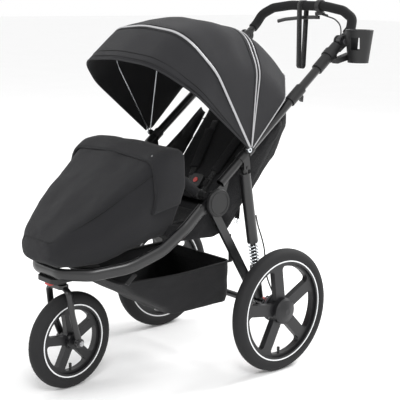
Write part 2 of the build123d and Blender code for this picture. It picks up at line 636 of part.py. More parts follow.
def bumper_bar():
    """Padded bar across the seat, turning on a pin at each end."""
    half = [(BUMPER_X, BUMPER_Y, BUMPER_Z), (BUMPER_X, BUMPER_Y - 74, BUMPER_Z + 58),
            (BUMPER_X - 6, BUMPER_Y - 152, BUMPER_Z + 98), (BUMPER_X - 66, BUMPER_Y - 176, BUMPER_Z + 106)]
    pts = half + [(-x, y, z) for x, y, z in reversed(half)]
    bar = bent(pts, [90, 50, 60, 60, 50, 90], Circle(BUMPER_R))
    end = disc(BUMPER_X, BUMPER_R, BUMPER_R + 1, BUMPER_Y, BUMPER_Z)
    bore = disc(BUMPER_X, BUMPER_R + 2, BUMPER_PIN_R + RUN_FIT, BUMPER_Y, BUMPER_Z)
    return bar + end + mirror(end, Plane.YZ) - bore - mirror(bore, Plane.YZ)


def bumper_pivot():
    """Boss on the inside of the frame with the pin that the bumper bar turns on."""
    flange = rod((BUMPER_X + BUMPER_R + SIDE_GAP, BUMPER_Y, BUMPER_Z), (TUBE_X - 5, BUMPER_Y, BUMPER_Z), 11)
    return flange + rod((BUMPER_X - 10, BUMPER_Y, BUMPER_Z), (TUBE_X - 6, BUMPER_Y, BUMPER_Z), BUMPER_PIN_R)


# ---- canopy -------------------------------------------------------------------------
def rib_points(angle, height, width, low=0.0):
    """Corner points of one hoop, in the plane that leans at angle about the canopy pivot."""
    a = math.radians(angle)
    flat = [(width, low), (width - 4, height * 0.66), (width * 0.70, height * 0.965), (0, height * 1.01)]
    flat = flat + [(-x, h) for x, h in reversed(flat[:-1])]
    return [(x, CANOPY_Y + h * math.cos(a), CANOPY_Z + h * math.sin(a)) for x, h in flat]


def rib_wire(angle, height, width, low=0.0):
    r = height * 0.30
    return FilletPolyline(*rib_points(angle, height, width, low), radius=[r, r, height * 0.8, r, r])


def canopy_hoop(index, step):
    """Wire hoop with a flat eye at each end on the canopy pivot."""
    angle, height = CANOPY_RIBS[index]
    x = RIB_X + step
    path = rib_wire(angle, height - CLOTH_GAP - RIB_WIRE, x, 6)
    hoop = sweep(Plane(origin=path @ 0, z_dir=path % 0) * Circle(RIB_WIRE), path=path)
    eyes = both(disc(x, 1.0, 8, CANOPY_Y, CANOPY_Z))
    return hoop + eyes - disc(0, x + 5, CANOPY_PIN_R + RUN_FIT, CANOPY_Y, CANOPY_Z)


def fan(grow, low, ribs):
    sections = []
    for angle, height in ribs:
        wire = rib_wire(angle, height + grow, RIB_X + HOOP_STEP + RIB_WIRE + CLOTH_GAP + grow, low)
        sections.append(make_face(wire + Line(wire @ 1, wire @ 0)))
    return loft(sections)


def canopy_fabric():
    first, last = CANOPY_RIBS[0], CANOPY_RIBS[-1]
    inner_ribs = [(first[0] + 4, first[1])] + CANOPY_RIBS[1:-1] + [(last[0] - 6, last[1] - 4)]
    return fan(CLOTH, 14, CANOPY_RIBS) - fan(0, 10, inner_ribs)


def canopy_clamp():
    """Clip round the side tube with the pin that both hoops turn on."""
    along = (CANOPY_Y - HINGE_Y) * math.cos(math.radians(TUBE_ANGLE)) + (CANOPY_Z - tube_z(HINGE_Y)) * math.sin(
        math.radians(TUBE_ANGLE))
    ring = rod(tube_point(along - 3), tube_point(along + 22), TUBE_R + 3, TUBE_R)
    x = TUBE_X + TUBE_R
    boss = disc(x + 0.5, 2.5, 10, CANOPY_Y, CANOPY_Z) - rod(tube_point(along - 60), tube_point(along + 60), TUBE_R)
    pin = rod((x - 1, CANOPY_Y, CANOPY_Z), (RIB_X + HOOP_STEP + 2, CANOPY_Y, CANOPY_Z), CANOPY_PIN_R)
    return ring + boss + pin - rod(tube_point(along - 60), tube_point(along + 60), TUBE_R)


# ---- footmuff and basket ------------------------------------------------------------
MUFF_LENGTHWISE = [
    # bottom (y, z), top (y, z), half widths low, middle and top, corner radius
    ((-404, 478), (-366, 742), 178, 217, 178, 40),
    ((-470, 462), (-452, 738), 180, 217, 172, 40),
    ((-512, 446), (-494, 662), 172, 206, 150, 40),
    ((-600, 415), (-610, 588), 142, 170, 120, 36),
    ((-690, 410), (-698, 522), 92, 98, 76, 26),
    ((-728, 424), (-722, 496), 62, 70, 54, 20),
]


def muff_section(bottom, top, low, middle, high, corner, wall, shift):
    """Six-sided cross-section of the footmuff, drawn wall mm inside the outside."""
    a, b = Vector(0, bottom[0] + shift, bottom[1]), Vector(0, top[0] + shift, top[1])
    height = (b - a).length
    plane = Plane(origin=a, x_dir=(1, 0, 0), z_dir=Vector(1, 0, 0).cross(b - a))
    half = [(low - wall, wall), (middle - wall, height * 0.66), (high - wall, height - wall)]
    outline = make_face(Polyline(*half, *[(-x, v) for x, v in reversed(half)], close=True))
    return plane * fillet(outline.vertices(), corner - wall)


def footmuff():
    """Hollow quilted sleeve, open at the seat and closed at the toes."""
    last = len(MUFF_LENGTHWISE) - 1
    shifts = [12 if k == 0 else -4 if k == last else 0 for k in range(last + 1)]
    outer = loft([muff_section(*s, 0, 0) for s in MUFF_LENGTHWISE], ruled=True)
    inner = loft([muff_section(*s, CLOTH, -d if k == last else d) for k, (s, d) in enumerate(zip(MUFF_LENGTHWISE, shifts))],
                 ruled=True)
    return outer - inner


def basket():
    """Open-topped cloth tray, narrower at the floor."""
    low = make_face(Polyline((-132, -66), (132, -66), (132, -322), (-132, -322), close=True))
    mid = make_face(Polyline((-152, -82), (152, -82), (152, -440), (-152, -440), close=True))
    top = make_face(Polyline((-166, -98), (166, -98), (166, -540), (-166, -540), close=True))
    outer = loft([Pos(0, 0, 206) * fillet(low.vertices(), 24), Pos(0, 0, 280) * fillet(mid.vertices(), 24),
                  Pos(0, 0, 350) * fillet(top.vertices(), 24)])
    inner = loft([Pos(0, 0, 209) * fillet(offset(low, -CLOTH).vertices(), 22),
                  Pos(0, 0, 281) * fillet(offset(mid, -CLOTH).vertices(), 22),
                  Pos(0, 0, 351) * fillet(offset(top, -CLOTH).vertices(), 22)])
    strap = plate([(-106, 344), (-90, 344), (-96, 440), (-112, 440)], 163, 165)
    return outer - inner + strap + mirror(strap, Plane.YZ)


def brake_pedal():
    hub = rod((112, 20, REAR_RADIUS - 16), (176, 20, REAR_RADIUS - 16), 8, 4 + RUN_FIT)
    tread = Pos(144, 52, REAR_RADIUS - 14) * Rot(8, 0, 0) * Box(64, 52, 6)
    return hub + (tread - rod((100, 20, REAR_RADIUS - 16), (190, 20, REAR_RADIUS - 16), 5))


def recline_strap():
    """Webbing that hangs from the seat bag, with the two rings it is pulled through."""
    web = Pos(120, -30, 508) * Box(22, 2.4, 72)
    for dx in (-6, 6):
        web += Pos(120 + dx, -30, 464) * Rot(0, 90, 0) * Torus(9, 1.3)
    return web


PIECES = {
    "side_tubes": lambda: both(side_tube()),
    "tube_sleeves": lambda: both(sleeve()),
    "tube_brackets": lambda: both(tube_bracket()),
    "hinge_pins": lambda: both(hinge_pin()),
    "hinge_covers": lambda: both(hinge_cover()),
    "leg_brackets": lambda: both(leg_bracket()),
    "leg_sleeves": lambda: both(leg_sleeve()),
    "leg_rods": lambda: both(leg_rod()),
    "springs": lambda: both(spring()),
    "swing_arms": lambda: both(swing_arm()),
    "rear_axle": rear_axle,
    "brake_drums": lambda: both(brake_drum()),
    "brake_pedal": brake_pedal,
    "handle_bar": handle_bar,
    "foam_grip": foam_grip,
    "handle_button_left": handle_button,
    "handle_button_right": lambda: mirror(handle_button(), Plane.YZ),
    "brake_mount": brake_mount,
    "brake_lever": brake_lever,
    "brake_cable_upper": lambda: cable(CABLE_TOP, 2.4),
    "brake_cable_lower": lambda: cable(CABLE_LOW, 2.4),
    "wrist_strap": wrist_strap,
    "cup_clamp": cup_clamp,
    "cup_holder": cup_holder,
    "front_bow": bow,
    "head_block": head_block,
    "swivel_lock": swivel_lock,
    "footrest": footrest,
    "fork": fork,
    "front_axle": front_axle,
    "front_tyre": lambda: at_front(tyre(FRONT_RADIUS, FRONT_TYRE_H, FRONT_TYRE_HALF)),
    "front_inner_tube": lambda: at_front(inner_tube(FRONT_RADIUS, FRONT_TYRE_H)),
    "front_rim": lambda: at_front(rim(FRONT_RADIUS, FRONT_TYRE_H, FRONT_SPOKE_W, FRONT_HUB_R, FRONT_AXLE_R, False)),
    "front_rings": lambda: at_front(rings(FRONT_RADIUS, FRONT_TYRE_H)),
    "seat_shell": seat_shell,
    "seat_base": seat_base,
    "seat_back": seat_back,
    "seat_bag": seat_bag,
    "harness": harness,
    "buckle": buckle,
    "buckle_button": buckle_button,
    "leg_rest": leg_rest,
    "bumper_bar": bumper_bar,
    "bumper_pivots": lambda: both(bumper_pivot()),
    "canopy_hoop_front": lambda: canopy_hoop(1, HOOP_STEP),
    "canopy_hoop_rear": lambda: canopy_hoop(3, 0.0),
    "canopy_clamps": lambda: both(canopy_clamp()),
    "canopy_fabric": canopy_fabric,
    "footmuff": footmuff,
    "basket": basket,
    "recline_strap": recline_strap,
}
for side, sign in (("left", 1), ("right", -1)):
    PIECES["rear_tyre_" + side] = lambda s=sign: at_rear(s, tyre(REAR_RADIUS, REAR_TYRE_H, REAR_TYRE_HALF))
    PIECES["rear_inner_tube_" + side] = lambda s=sign: at_rear(s, inner_tube(REAR_RADIUS, REAR_TYRE_H))
    PIECES["rear_rim_" + side] = lambda s=sign: at_rear(s, rim(
        REAR_RADIUS, REAR_TYRE_H, REAR_SPOKE_W, REAR_HUB_R, REAR_AXLE_R, True))
    PIECES["rear_rings_" + side] = lambda s=sign: at_rear(s, rings(REAR_RADIUS, REAR_TYRE_H))


def main():
    os.makedirs("parts", exist_ok=True)
    for name, make in PIECES.items():
        solids = make().solids()
        piece = solids[0] if len(solids) == 1 else Compound(children=solids)
        export_step(Pos(0, CENTRE_SHIFT, 0) * piece, "parts/" + name + ".step")


if __name__ == "__main__":
    main()
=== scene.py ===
"""Looks of a three-wheel jogging stroller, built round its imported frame.

Metres, +Z up, -Y is the direction of travel and +X is the stroller's left side.
Shapes are laid out in millimetres from the ground point under the rear axle, and at()
moves them into the frame.
"""

import json
import math

import bmesh
import bpy
from mathutils import Matrix, Vector, noise


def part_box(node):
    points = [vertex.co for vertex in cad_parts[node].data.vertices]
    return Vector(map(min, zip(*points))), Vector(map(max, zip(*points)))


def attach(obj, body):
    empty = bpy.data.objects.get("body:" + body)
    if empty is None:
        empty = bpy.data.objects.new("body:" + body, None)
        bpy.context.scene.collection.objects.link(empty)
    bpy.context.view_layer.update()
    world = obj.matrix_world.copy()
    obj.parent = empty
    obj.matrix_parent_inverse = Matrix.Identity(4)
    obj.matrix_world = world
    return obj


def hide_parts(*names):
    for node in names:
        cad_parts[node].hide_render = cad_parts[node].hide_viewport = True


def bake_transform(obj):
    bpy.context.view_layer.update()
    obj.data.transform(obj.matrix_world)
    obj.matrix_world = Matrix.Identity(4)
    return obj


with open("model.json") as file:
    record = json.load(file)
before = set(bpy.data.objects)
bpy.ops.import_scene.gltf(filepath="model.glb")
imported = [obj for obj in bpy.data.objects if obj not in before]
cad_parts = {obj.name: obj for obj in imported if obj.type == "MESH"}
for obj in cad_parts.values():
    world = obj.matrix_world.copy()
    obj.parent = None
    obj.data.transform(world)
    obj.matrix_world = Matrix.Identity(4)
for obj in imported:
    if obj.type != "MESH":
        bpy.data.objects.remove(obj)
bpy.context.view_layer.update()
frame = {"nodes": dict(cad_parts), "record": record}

MM = 0.001
AXLE_TO_MIDDLE = 165.647
FULL = 2 * math.pi
UP = Vector((0, 0, 1))
ACROSS = Vector((1, 0, 0))


def at(x, y, z):
    """Point in the frame, in metres, from millimetres beside the rear axle."""
    return Vector((x, y + AXLE_TO_MIDDLE, z)) * MM


# ---- shader maths -------------------------------------------------------------------
class Wire:
    """One socket, with arithmetic that adds Math nodes."""

    def __init__(self, finish, socket):
        self.finish = finish
        self.socket = socket

    def sum(self, kind, first, second=0.0):
        return self.finish.node("ShaderNodeMath", {"operation": kind}, [first, second])

    def __add__(self, other):
        return self.sum("ADD", self, other)

    def __sub__(self, other):
        return self.sum("SUBTRACT", self, other)

    def __rsub__(self, other):
        return self.sum("SUBTRACT", other, self)

    def __mul__(self, other):
        return self.sum("MULTIPLY", self, other)

    __radd__ = __add__
    __rmul__ = __mul__

    def wave(self):
        return self.sum("SINE", self)


class Finish:
    """A material made of one Principled shader and the nodes that feed it."""

    def __init__(self, name, **constants):
        self.material = bpy.data.materials.new(name)
        self.material.use_nodes = True
        self.tree = self.material.node_tree
        self.shader = self.tree.nodes["Principled BSDF"]
        for key, value in constants.items():
            self.shader.inputs[key.replace("_", " ")].default_value = value

    def node(self, kind, settings, inputs, output=0):
        made = self.tree.nodes.new(kind)
        for key, value in settings.items():
            setattr(made, key, value)
        pairs = inputs.items() if isinstance(inputs, dict) else enumerate(inputs)
        for key, value in pairs:
            self.feed(made.inputs[key], value)
        return Wire(self, made.outputs[output])

    def feed(self, socket, value):
        if isinstance(value, Wire):
            self.tree.links.new(value.socket, socket)
        else:
            socket.default_value = value

    def into(self, name, value):
        self.feed(self.shader.inputs[name], value)

    def place(self, scale=(1, 1, 1), turn=(0, 0, 0)):
        spot = self.node("ShaderNodeTexCoord", {}, {}, "Object")
        return self.node("ShaderNodeMapping", {}, {"Vector": spot, "Scale": scale, "Rotation": turn})

    def grain(self, scale, detail=3.0, rough=0.55, stretch=(1, 1, 1)):
        return self.node("ShaderNodeTexNoise", {}, {
            "Vector": self.place(stretch), "Scale": scale, "Detail": detail, "Roughness": rough})

    def mix(self, share, first, second):
        blend = self.tree.nodes.new("ShaderNodeMix")
        blend.data_type = "RGBA"
        for key, kind, value in (("Factor", "VALUE", share), ("A", "RGBA", first), ("B", "RGBA", second)):
            socket = [s for s in blend.inputs if s.name == key and s.type == kind][0]
            self.feed(socket, value)
        return Wire(self, [s for s in blend.outputs if s.type == "RGBA"][0])

    def bump(self, height, strength, distance):
        self.into("Normal", self.node("ShaderNodeBump", {}, {
            "Height": height, "Strength": strength, "Distance": distance}))


def tone(colour, factor):
    return tuple(min(1.0, c * factor) for c in colour[:3]) + (1.0,)


def weave(finish, pitch):
    """Crossing threads about pitch metres apart."""
    turn = FULL / pitch
    spot = finish.place()
    parts = finish.tree.nodes.new("ShaderNodeSeparateXYZ")
    finish.feed(parts.inputs[0], spot)
    x, y, z = (Wire(finish, parts.outputs[k]) for k in range(3))
    warp = ((x + y * 0.7 + z * 0.6) * turn).wave()
    weft = ((z * 1.1 - x * 0.8 + y * 0.35) * turn).wave()
    return warp * weft * 0.5 + 0.5


def cloth(name, colour, pitch=0.0011, rough=0.86, sheen=0.06, fuzz=0.35, crease=0.0):
    f = Finish(name, Sheen_Weight=sheen, Sheen_Roughness=0.5, Specular_IOR_Level=0.20)
    threads = weave(f, pitch)
    broad = f.grain(9, 4)
    fine = f.grain(420, 2)
    shade = broad * 0.55 + threads * 0.25 + fine * 0.2
    f.into("Base Color", f.mix(shade, tone(colour, 0.72), tone(colour, 1.34)))
    f.into("Roughness", broad * 0.12 + (rough - 0.06))
    height = threads * 0.6 + fine * fuzz
    if crease:
        height = height + f.grain(38, 5, 0.6, (1.0, 1.0, 0.45)) * crease
    f.bump(height, 0.45, 0.0006 if not crease else 0.0016)
    return f.material


def powder_coat(name, colour, rough=0.34, orange_peel=0.22):
    f = Finish(name, Specular_IOR_Level=0.5, Coat_Roughness=0.2)
    peel = f.grain(650, 2)
    wear = f.grain(14, 5, 0.62)
    f.into("Base Color", f.mix(wear, tone(colour, 0.8), tone(colour, 1.45)))
    f.into("Roughness", wear * 0.16 + (rough - 0.08))
    f.into("Coat Weight", wear * 0.1 + 0.12)
    f.bump(peel, orange_peel, 0.0003)
    return f.material


def moulded(name, colour, rough=0.5, texture=0.35, scale=900):
    f = Finish(name, Specular_IOR_Level=0.42)
    spark = f.grain(scale, 2)
    broad = f.grain(18, 4)
    f.into("Base Color", f.mix(broad, tone(colour, 0.84), tone(colour, 1.25)))
    f.into("Roughness", spark * 0.14 + broad * 0.1 + (rough - 0.12))
    f.bump(spark, texture, 0.00025)
    return f.material


def metal(name, colour, rough=0.2, brushed=0.12):
    f = Finish(name, Metallic=1.0)
    lines = f.grain(500, 3, 0.6, (0.15, 1, 1))
    smear = f.grain(22, 4)
    f.into("Base Color", f.mix(smear, tone(colour, 0.82), tone(colour, 1.08)))
    f.into("Roughness", lines * brushed + smear * 0.1 + (rough - 0.08))
    f.bump(lines, 0.1, 0.0002)
    return f.material


def rubber(name, colour, rough=0.72, pebble=0.4, scale=700, dust=0.0):
    f = Finish(name, Specular_IOR_Level=0.35)
    pores = f.grain(scale, 3)
    broad = f.grain(24, 5)
    f.into("Base Color", f.mix(broad, tone(colour, 0.75), tone(colour, 1.5 + dust)))
    f.into("Roughness", broad * 0.16 + (rough - 0.08))
    f.bump(pores, pebble, 0.0005)
    return f.material


def reflective(name, colour):
    f = Finish(name, Specular_IOR_Level=0.55, Coat_Weight=0.3, Coat_Roughness=0.15)
    beads = f.node("ShaderNodeTexVoronoi", {}, {"Vector": f.place(), "Scale": 900.0})
    broad = f.grain(30, 3)
    f.into("Base Color", f.mix(broad, tone(colour, 0.9), tone(colour, 1.08)))
    f.into("Roughness", broad * 0.2 + 0.26)
    f.bump(beads, 0.15, 0.0002)
    return f.material


def webbing(name, colour):
    """Ribbed polyester tape."""
    f = Finish(name, Sheen_Weight=0.2, Sheen_Roughness=0.4, Specular_IOR_Level=0.3)
    ribs = weave(f, 0.0017)
    broad = f.grain(40, 3)
    f.into("Base Color", f.mix(ribs * 0.6 + broad * 0.4, tone(colour, 0.65), tone(colour, 1.4)))
    f.into("Roughness", broad * 0.14 + 0.72)
    f.bump(ribs, 0.6, 0.0007)
    return f.material


CANVAS = (0.019, 0.019, 0.021)
BLACK = (0.006, 0.006, 0.0065)
FINISHES = {
    "frame_black": powder_coat("satin_black_frame", (0.006, 0.006, 0.0065)),
    "black_plastic": moulded("black_moulding", (0.009, 0.009, 0.0095)),
    "rim_plastic": moulded("wheel_moulding", (0.008, 0.008, 0.009), rough=0.42),
    "grey_plastic": moulded("grey_moulding", (0.07, 0.07, 0.075)),
    "red_plastic": moulded("red_moulding", (0.50, 0.03, 0.025), rough=0.36, texture=0.15),
    "steel": metal("plated_spring", (0.74, 0.77, 0.80), rough=0.18),
    "bolt_steel": metal("zinc_bolts", (0.42, 0.42, 0.43), rough=0.34),
    "alu": metal("turned_aluminium", (0.6, 0.61, 0.62), rough=0.3),
    "tyre_rubber": rubber("tyre_rubber", (0.008, 0.008, 0.0085), rough=0.78, dust=0.6),
    "tube_rubber": rubber("inner_tube_rubber", (0.02, 0.02, 0.02)),
    "ring_white": reflective("reflective_ring", (0.80, 0.81, 0.82)),
    "foam": rubber("foam_grip", (0.006, 0.006, 0.0065), rough=0.9, pebble=0.8, scale=320),
    "cable_black": rubber("cable_sheath", (0.012, 0.012, 0.012), rough=0.5, pebble=0.1),
    "canvas": cloth("canopy_canvas", CANVAS, crease=0.25),
    "seat_cloth": cloth("seat_liner_cloth", (0.008, 0.008, 0.009), crease=0.9),
    "pad_cloth": cloth("seat_pad_cloth", (0.009, 0.009, 0.010), crease=0.5),
    "muff_cloth": cloth("footmuff_canvas", (0.013, 0.013, 0.0145), crease=0.25),
    "basket_cloth": cloth("basket_canvas", (0.009, 0.009, 0.010), crease=0.3),
    "webbing": webbing("black_webbing", (0.006, 0.006, 0.0065)),
}
PIPING = reflective("silver_piping", (0.36, 0.36, 0.37))
STITCH = rubber("dark_stitching", BLACK, rough=0.85, pebble=0.2)
LINING = cloth("canopy_lining", (0.008, 0.008, 0.009), crease=0.4)

for row in frame["record"]["subparts"]:
    mesh = frame["nodes"][row["node"]].data
    mesh.materials.clear()
    mesh.materials.append(FINISHES[row["material_slot"]])


# ---- shaping ------------------------------------------------------------------------
def rounded(points, radii, steps=7):
    """Corner points with tangent arcs put in at every inner corner."""
    line = [points[0].copy()]
    for before, corner, after, radius in zip(points, points[1:], points[2:], radii):
        a, b = (before - corner).normalized(), (after - corner).normalized()
        half = a.angle(b) / 2
        if half > 1.56:
            line.append(corner.copy())
            continue
        middle = corner + (a + b).normalized() * (radius / math.sin(half))
        cut = radius / math.tan(half)
        u, v = corner + a * cut - middle, corner + b * cut - middle
        line += [middle + u.slerp(v, k / steps).normalized() * radius for k in range(steps + 1)]
    return line + [points[-1].copy()]


def spaced(line, count):
    """The same line as count points at even distances."""
    reach = [0.0]
    for a, b in zip(line, line[1:]):
        reach.append(reach[-1] + (b - a).length)
    out, k = [], 0
    for i in range(count):
        want = reach[-1] * i / (count - 1)
        while k < len(line) - 2 and reach[k + 1] < want:
            k += 1
        span = max(reach[k + 1] - reach[k], 1e-9)
        out.append(line[k].lerp(line[k + 1], (want - reach[k]) / span))
    return out


def between(values, t):
    """Smooth curve through evenly keyed values, numbers or vectors, t from 0 to 1."""
    last = len(values) - 1
    k = min(int(t * last), last - 1)
    u = t * last - k
    p0, p1, p2, p3 = (values[max(0, min(last, k + d))] for d in (-1, 0, 1, 2))
    return (p1 * 2 + (p2 - p0) * u + (p0 * 2 - p1 * 5 + p2 * 4 - p3) * u * u
            + (p1 * 3 - p0 - p2 * 3 + p3) * u * u * u) * 0.5


def skin(rows, closed=False, capped=False):
    """Surface through rows of points, made by extruding the first row's edges."""
    bm = bmesh.new()
    line = [bm.verts.new(p) for p in rows[0]]
    ring = line + line[:1] if closed else line
    edges = [bm.edges.new(pair) for pair in zip(ring, ring[1:])]
    for row in rows[1:]:
        made = bmesh.ops.extrude_edge_only(bm, edges=edges)["geom"]
        fresh = {v for v in made if isinstance(v, bmesh.types.BMVert)}
        edges = [e for e in made if isinstance(e, bmesh.types.BMEdge) and all(v in fresh for v in e.verts)]
        line = [next(e.other_vert(v) for e in v.link_edges if e.other_vert(v) in fresh) for v in line]
        for vert, place in zip(line, row):
            vert.co = place
    if capped:
        bmesh.ops.holes_fill(bm, edges=[e for e in bm.edges if e.is_boundary], sides=0)
    bmesh.ops.recalc_face_normals(bm, faces=bm.faces)
    return bm


def looped(rows):
    """Closed ring through cross-sections, the last one joined to the first."""
    bm = skin(rows + [rows[0]], closed=True)
    bmesh.ops.remove_doubles(bm, verts=bm.verts, dist=1e-6)
    bmesh.ops.recalc_face_normals(bm, faces=bm.faces)
    return bm


def turns(count):
    """Angles of count even steps round a circle."""
    return [FULL * k / count for k in range(count)]


def thicken(bm, depth):
    """Gives an open surface a wall of that depth."""
    bmesh.ops.solidify(bm, geom=bm.faces[:], thickness=depth)
    bmesh.ops.recalc_face_normals(bm, faces=bm.faces)
    return bm


def ruffle(bm, size, scale, stretch=(1, 1, 1), seed=0.0):
    """Pushes vertices along their normals with smooth noise, in metres."""
    bm.normal_update()
    moves = []
    for v in bm.verts:
        spot = Vector(v.co[k] * stretch[k] * scale + seed for k in range(3))
        moves.append((v, v.normal * (noise.noise(spot) * size + noise.noise(spot * 2.3) * size * 0.4)))
    for v, move in moves:
        v.co += move
    return bm


def tube(path, up, half_width, half_depth, sides=10, capped=True):
    """Rounded strip along a path, half_width across and half_depth proud along up(point)."""
    rows = []
    for k, point in enumerate(path):
        along = (path[min(k + 1, len(path) - 1)] - path[max(k - 1, 0)]).normalized()
        out = up(point)
        out = (out - along * out.dot(along)).normalized()
        across = along.cross(out)
        rows.append([point + across * (half_width * math.cos(a)) + out * (half_depth * math.sin(a))
                     for a in (FULL * i / sides for i in range(sides))])
    return skin(rows, closed=True, capped=capped)


def piece(name, bm, material, body=None, stands_for=(), levels=0):
    mesh = bpy.data.meshes.new(name)
    bm.to_mesh(mesh)
    bm.free()
    for face in mesh.polygons:
        face.use_smooth = True
    made = bpy.data.objects.new(name, mesh)
    bpy.context.collection.objects.link(made)
    mesh.materials.append(material)
    if levels:
        smooth = made.modifiers.new("smooth", "SUBSURF")
        smooth.levels = levels
        smooth.render_levels = levels
    if body:
        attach(made, body)
    if stands_for:
        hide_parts(*stands_for)
    return made


def joined(parts):
    """Several bmeshes as one."""
    whole = bmesh.new()
    for bm in parts:
        scrap = bpy.data.meshes.new("scrap")
        bm.to_mesh(scrap)
        bm.free()
        whole.from_mesh(scrap)
        bpy.data.meshes.remove(scrap)
    return whole


# ---- canopy -------------------------------------------------------------------------
HUB = (-105.0, 720.0)
RIB_ANGLES = [141.0, 121.0, 101.0, 83.6, 45.0]
RIB_HEIGHTS = [434.0, 429.0, 402.0, 371.0, 320.0]
RIB_HALF = 251.0
HOOP_POINTS = 65


def rib_height(angle):
    """Height of the canopy's outside above its hub, sagging a little between hoops."""
    for k in range(len(RIB_ANGLES) - 1):
        high, low = RIB_ANGLES[k], RIB_ANGLES[k + 1]
        if low <= angle <= high:
            share = (high - angle) / (high - low)
            smooth = between(RIB_HEIGHTS, (k + share) / (len(RIB_ANGLES) - 1))
            return smooth - 5.0 * math.sin(math.pi * share) ** 2
    return RIB_HEIGHTS[0] if angle > RIB_ANGLES[0] else RIB_HEIGHTS[-1]


def hoop(angle, lift=0.0, low=14.0, count=HOOP_POINTS):
    """Line over the canopy in the plane that leans at angle about its hub."""
    a = math.radians(angle)
    height, half = rib_height(angle) + lift, RIB_HALF + lift
    flat = [(half, low), (half - 4, height * 0.66), (half * 0.70, height * 0.965), (0, height * 1.01)]
    flat += [(-x, h) for x, h in reversed(flat[:-1])]
    turn = height * min(0.30, 0.10 + 0.005 * (angle - 40))
    line = rounded([Vector((x, h, 0)) for x, h in flat], [turn, turn, height * 0.8, turn, turn])
    return [at(p.x, HUB[0] + p.y * math.cos(a), HUB[1] + p.y * math.sin(a)) for p in spaced(line, count)]


def from_hub(point):
    """Direction out of the canopy at a point on it."""
    out = point - at(0, HUB[0] - 40, HUB[1] + 60)
    return Vector((out.x * 1.2, out.y, out.z))


def canopy_piece(name, bm, material, stands_for=()):
    made = piece(name, bm, material, stands_for=stands_for)
    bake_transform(made)
    return made


def canopy():
    leans = [RIB_ANGLES[0] - (RIB_ANGLES[0] - RIB_ANGLES[-1]) * k / 40 for k in range(41)]
    shell = ruffle(skin([hoop(a) for a in leans]), 0.0016, 12, (1.0, 1.0, 0.5), 3.1)
    thicken(shell, 0.0024)
    cover = canopy_piece("canopy_cover", shell, FINISHES["canvas"], ["canopy_fabric"])
    lining = skin([hoop(a, -4.4, 20) for a in leans[::2]])
    thicken(lining, 0.0008)
    inner = canopy_piece("canopy_lining", lining, LINING)
    canopy_piece("canopy_front_piping", tube(hoop(121, 1.4, 10), from_hub, 0.0042, 0.0022), PIPING)
    pair = [tube(hoop(a, 1.2, 10), from_hub, 0.0024, 0.0019) for a in (85.2, 82.0)]
    canopy_piece("canopy_zip_piping", joined(pair), PIPING)
    canopy_piece("canopy_zip", tube(hoop(83.6, 0.4, 12), from_hub, 0.0032, 0.0012), STITCH)
    canopy_piece("canopy_rear_piping", tube(hoop(45.4, 0.8, 10), from_hub, 0.0019, 0.0019), PIPING)
    seams = (139.4, 136.6, 119.4, 122.6, 87.6, 79.6)
    hems = [tube(hoop(a, 0.2), from_hub, 0.0011, 0.0011, 6) for a in seams]
    canopy_piece("canopy_seams", joined(hems), STITCH)
    canopy_piece("canopy_visor_edge", tube(hoop(141, 0.0, 12), from_hub, 0.0028, 0.0030), FINISHES["canvas"])


# ---- footmuff -----------------------------------------------------------------------
MUFF = [
    # bottom (y, z), top (y, z), half widths low, middle and top, corner radius
    ((-376, 476), (-330, 724), 182, 218, 196, 38),
    ((-452, 462), (-424, 716), 182, 217, 192, 40),
    ((-516, 444), (-506, 652), 174, 206, 176, 40),
    ((-606, 414), (-610, 576), 146, 172, 142, 34),
    ((-690, 408), (-698, 506), 98, 112, 96, 28),
    ((-724, 424), (-722, 482), 68, 78, 66, 20),
]
MUFF_ROUND = 72
MUFF_ROWS = 46


def muff_ring(t, grow=0.0):
    """Closed cross-section of the footmuff, t from the cuff at 0 to the toe at 1."""
    keys = [[Vector((0, *s[0])), Vector((0, *s[1])), s[2], s[3], s[4], s[5]] for s in MUFF]
    low, high, wide, middle, top, corner = (between([k[i] for k in keys], t) for i in range(6))
    rise = (high - low).normalized()
    height = (high - low).length
    crown = 16 * math.sin(math.pi * min(1.0, t * 1.15))
    half = [(wide + grow, -grow), (middle + 2 + grow, height * 0.60), (top + grow, height + grow)]
    loop = half + [(0, height + crown + grow)] + [(-x, v) for x, v in reversed(half)] + [(0, -3 - grow)]
    flat = [Vector((x, v, 0)) for x, v in loop]
    start = (flat[-1] + flat[0]) / 2
    side = [corner, corner * 1.5, corner]
    line = rounded([start] + flat + [start], side + [260] + side + [400])
    return [at(p.x, low.y + rise.y * p.y, low.z + rise.z * p.y) for p in spaced(line, MUFF_ROUND + 1)[:-1]]


def muff_rows():
    rows = [muff_ring(k / (MUFF_ROWS - 1)) for k in range(MUFF_ROWS)]
    middle = sum(rows[-1], Vector()) / len(rows[-1])
    for shrink, step in ((0.90, 3.5), (0.70, 6.0), (0.42, 7.4), (0.14, 7.8)):
        ahead = Vector((0, -step * MM, 0))
        rows.append([middle + (p - middle) * shrink + ahead for p in rows[MUFF_ROWS - 1]])
    return rows


